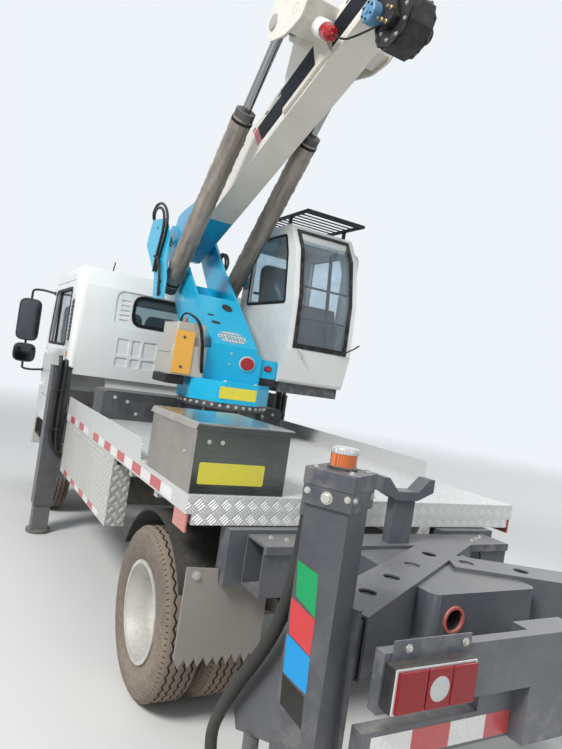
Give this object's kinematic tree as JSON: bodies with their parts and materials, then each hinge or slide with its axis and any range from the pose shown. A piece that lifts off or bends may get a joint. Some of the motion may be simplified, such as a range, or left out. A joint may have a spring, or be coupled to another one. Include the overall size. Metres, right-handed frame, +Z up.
{
  "type": "cherry picker truck",
  "caption": "Light truck with a turret, a three-section telescopic boom and work basket, a side operator cab, four stabilisers and a tool box on its deck.",
  "frame": {"origin": "on the ground below the middle of the whole vehicle, boom over the tail and wheels on the ground", "axes": "+X the way the truck drives, +Y its left side, +Z up"},
  "size_m": [7.739, 2.51, 5.3479],
  "materials": {
    "body_white": "gloss, dusty",
    "boom_cream": "gloss, dusty",
    "turret_blue": "gloss, dusty",
    "frame_grey": "satin, dusty",
    "leg_grey": "satin, scratched",
    "deck_grey": "satin, worn",
    "stainless": "brushed",
    "rubber_tyre": "dusty",
    "black_plastic": "matt",
    "glass": "tinted",
    "lamp_red": "gloss",
    "seat": "woven",
    "hose": "sleeved",
    "rod_chrome": "polished",
    "barrel_sleeve": "satin, dusty",
    "cast": "rough",
    "basket_grey": "gloss",
    "cabinet_orange": "satin, dusty"
  },
  "bodies": {
    "truck": {"chassis_frame": "frame_grey", "deck": "deck_grey", "pedestal": "frame_grey", "side_skirts": "body_white", "cab_shell": "body_white", "cab_glass": "glass", "cab_interior": "seat", "cab_trim": "black_plastic", "lamps": "lamp_red", "engine": "cast", "front_axle": "cast", "rear_axle": "cast", "side_tanks": "frame_grey", "mudguards": "black_plastic", "tool_box": "stainless", "tail_frame": "leg_grey", "front_housing": "frame_grey"},
    "knuckle_left": {"knuckle_left": "cast"},
    "knuckle_right": {"knuckle_right": "cast"},
    "wheel_front_left": {"wheel_front_left": "rubber_tyre"},
    "wheel_front_right": {"wheel_front_right": "rubber_tyre"},
    "wheel_rear_left": {"wheel_rear_left": "rubber_tyre"},
    "wheel_rear_right": {"wheel_rear_right": "rubber_tyre"},
    "door_left": {"door_left": "body_white", "door_glass_left": "glass"},
    "door_right": {"door_right": "body_white", "door_glass_right": "glass"},
    "tool_box_lid": {"tool_box_lid": "stainless"},
    "turret": {"turret": "turret_blue", "valve_cabinet": "cabinet_orange", "operator_cab_base": "frame_grey", "operator_cab": "body_white", "operator_glass": "glass", "operator_interior": "seat", "operator_canopy": "frame_grey"},
    "operator_door": {"operator_door": "body_white", "operator_door_glass": "glass"},
    "boom_base": {"boom_base": "boom_cream", "boom_reel": "black_plastic"},
    "boom_mid": {"boom_mid": "boom_cream"},
    "boom_inner": {"boom_inner": "boom_cream"},
    "basket": {"basket": "basket_grey"},
    "basket_gate": {"basket_gate": "basket_grey"},
    "lift_barrel_left": {"lift_barrel_left": "barrel_sleeve"},
    "lift_barrel_right": {"lift_barrel_right": "barrel_sleeve"},
    "lift_rod_left": {"lift_rod_left": "rod_chrome"},
    "lift_rod_right": {"lift_rod_right": "rod_chrome"},
    "front_beam_left": {"front_beam_left": "leg_grey"},
    "front_beam_right": {"front_beam_right": "leg_grey"},
    "front_leg_left": {"front_leg_left": "leg_grey"},
    "front_leg_right": {"front_leg_right": "leg_grey"},
    "rear_beam_left": {"rear_beam_left": "leg_grey", "leg_hose_left": "hose"},
    "rear_beam_right": {"rear_beam_right": "leg_grey", "leg_hose_right": "hose"},
    "rear_leg_left": {"rear_leg_left": "leg_grey"},
    "rear_leg_right": {"rear_leg_right": "leg_grey"}
  },
  "joints": [
    {"name": "steer_left", "type": "hinge", "parent": "truck", "child": "knuckle_left", "pos_m": [2.735, 0.655, 0.39], "axis": [0, 0, 1], "range_deg": [-35, 35]},
    {"name": "roll_front_left", "type": "hinge", "parent": "knuckle_left", "child": "wheel_front_left", "pos_m": [2.735, 0.825, 0.39], "axis": [0, 1, 0], "continuous": true},
    {"name": "roll_rear_left", "type": "hinge", "parent": "truck", "child": "wheel_rear_left", "pos_m": [-0.625, 0.75, 0.39], "axis": [0, 1, 0], "continuous": true},
    {"name": "door_left_hinge", "type": "hinge", "parent": "truck", "child": "door_left", "pos_m": [3.602, 0.94, 1.3], "axis": [0, 0, -1], "range_deg": [0, 65]},
    {"name": "steer_right", "type": "hinge", "parent": "truck", "child": "knuckle_right", "pos_m": [2.735, -0.655, 0.39], "axis": [0, 0, 1], "range_deg": [-35, 35]},
    {"name": "roll_front_right", "type": "hinge", "parent": "knuckle_right", "child": "wheel_front_right", "pos_m": [2.735, -0.825, 0.39], "axis": [0, 1, 0], "continuous": true},
    {"name": "roll_rear_right", "type": "hinge", "parent": "truck", "child": "wheel_rear_right", "pos_m": [-0.625, -0.75, 0.39], "axis": [0, 1, 0], "continuous": true},
    {"name": "door_right_hinge", "type": "hinge", "parent": "truck", "child": "door_right", "pos_m": [3.602, -0.94, 1.3], "axis": [0, 0, 1], "range_deg": [0, 65]},
    {"name": "lid_hinge", "type": "hinge", "parent": "truck", "child": "tool_box_lid", "pos_m": [-0.745, 0.508, 1.3103], "axis": [1, 0, 0], "range_deg": [0, 100]},
    {"name": "slew", "type": "hinge", "parent": "truck", "child": "turret", "pos_m": [0.93, 0, 1.318], "axis": [0, 0, 1], "continuous": true},
    {"name": "operator_door_hinge", "type": "hinge", "parent": "turret", "child": "operator_door", "pos_m": [1.592, -1.01, 2.1], "axis": [0, 0, 1], "range_deg": [0, 85]},
    {"name": "luff", "type": "hinge", "parent": "turret", "child": "boom_base", "pos_m": [2.155, 0, 2.66], "axis": [0, 1, 0], "range_deg": [-44, 50]},
    {"name": "extend_mid", "type": "slide", "parent": "boom_base", "child": "boom_mid", "axis": [-0.9198, 0, 0.3923], "range_m": [0, 3.2]},
    {"name": "extend_inner", "type": "slide", "parent": "boom_mid", "child": "boom_inner", "axis": [-0.9198, 0, 0.3923], "range_m": [0, 3.2]},
    {"name": "basket_level", "type": "hinge", "parent": "boom_inner", "child": "basket", "pos_m": [-2.904, 0, 4.818], "axis": [0, 1, 0], "range_deg": [-50, 44]},
    {"name": "gate_hinge", "type": "hinge", "parent": "basket", "child": "basket_gate", "pos_m": [-3.211, 0.55, 4.8], "axis": [0, 0, 1], "range_deg": [0, 85]},
    {"name": "barrel_left_hinge", "type": "hinge", "parent": "turret", "child": "lift_barrel_left", "pos_m": [1.615, 0.275, 2.34], "axis": [0, 1, 0], "range_deg": [-46.5, 52.5]},
    {"name": "rod_left_slide", "type": "slide", "parent": "lift_barrel_left", "child": "lift_rod_left", "axis": [-0.6895, 0, 0.7243], "range_m": [-0.385, 0.435]},
    {"name": "barrel_right_hinge", "type": "hinge", "parent": "turret", "child": "lift_barrel_right", "pos_m": [1.615, -0.275, 2.34], "axis": [0, 1, 0], "range_deg": [-46.5, 52.5]},
    {"name": "rod_right_slide", "type": "slide", "parent": "lift_barrel_right", "child": "lift_rod_right", "axis": [-0.6895, 0, 0.7243], "range_m": [-0.385, 0.435]},
    {"name": "front_beam_left_slide", "type": "slide", "parent": "truck", "child": "front_beam_left", "axis": [0, 1, 0], "range_m": [0, 0.45]},
    {"name": "front_leg_left_slide", "type": "slide", "parent": "front_beam_left", "child": "front_leg_left", "axis": [0, 0, 1], "range_m": [0, 0.19]},
    {"name": "rear_beam_left_slide", "type": "slide", "parent": "truck", "child": "rear_beam_left", "axis": [-0.5, 0.866, 0], "range_m": [0, 0.4]},
    {"name": "rear_leg_left_slide", "type": "slide", "parent": "rear_beam_left", "child": "rear_leg_left", "axis": [0, 0, 1], "range_m": [0, 0.24]},
    {"name": "front_beam_right_slide", "type": "slide", "parent": "truck", "child": "front_beam_right", "axis": [0, -1, 0], "range_m": [0, 0.45]},
    {"name": "front_leg_right_slide", "type": "slide", "parent": "front_beam_right", "child": "front_leg_right", "axis": [0, 0, 1], "range_m": [0, 0.19]},
    {"name": "rear_beam_right_slide", "type": "slide", "parent": "truck", "child": "rear_beam_right", "axis": [-0.5, -0.866, 0], "range_m": [0, 0.4]},
    {"name": "rear_leg_right_slide", "type": "slide", "parent": "rear_beam_right", "child": "rear_leg_right", "axis": [0, 0, 1], "range_m": [0, 0.24]}
  ],
  "couplings": [
    {"joint": "steer_right", "follows": "steer_left", "ratio": 1},
    {"joint": "extend_inner", "follows": "extend_mid", "ratio": 1},
    {"joint": "basket_level", "follows": "luff", "ratio": -1},
    {"joint": "barrel_left_hinge", "follows": "luff", "ratio": 1.04},
    {"joint": "rod_left_slide", "follows": "luff", "m_per_rad": 0.49},
    {"joint": "barrel_right_hinge", "follows": "luff", "ratio": 1.04},
    {"joint": "rod_right_slide", "follows": "luff", "m_per_rad": 0.49}
  ]
}
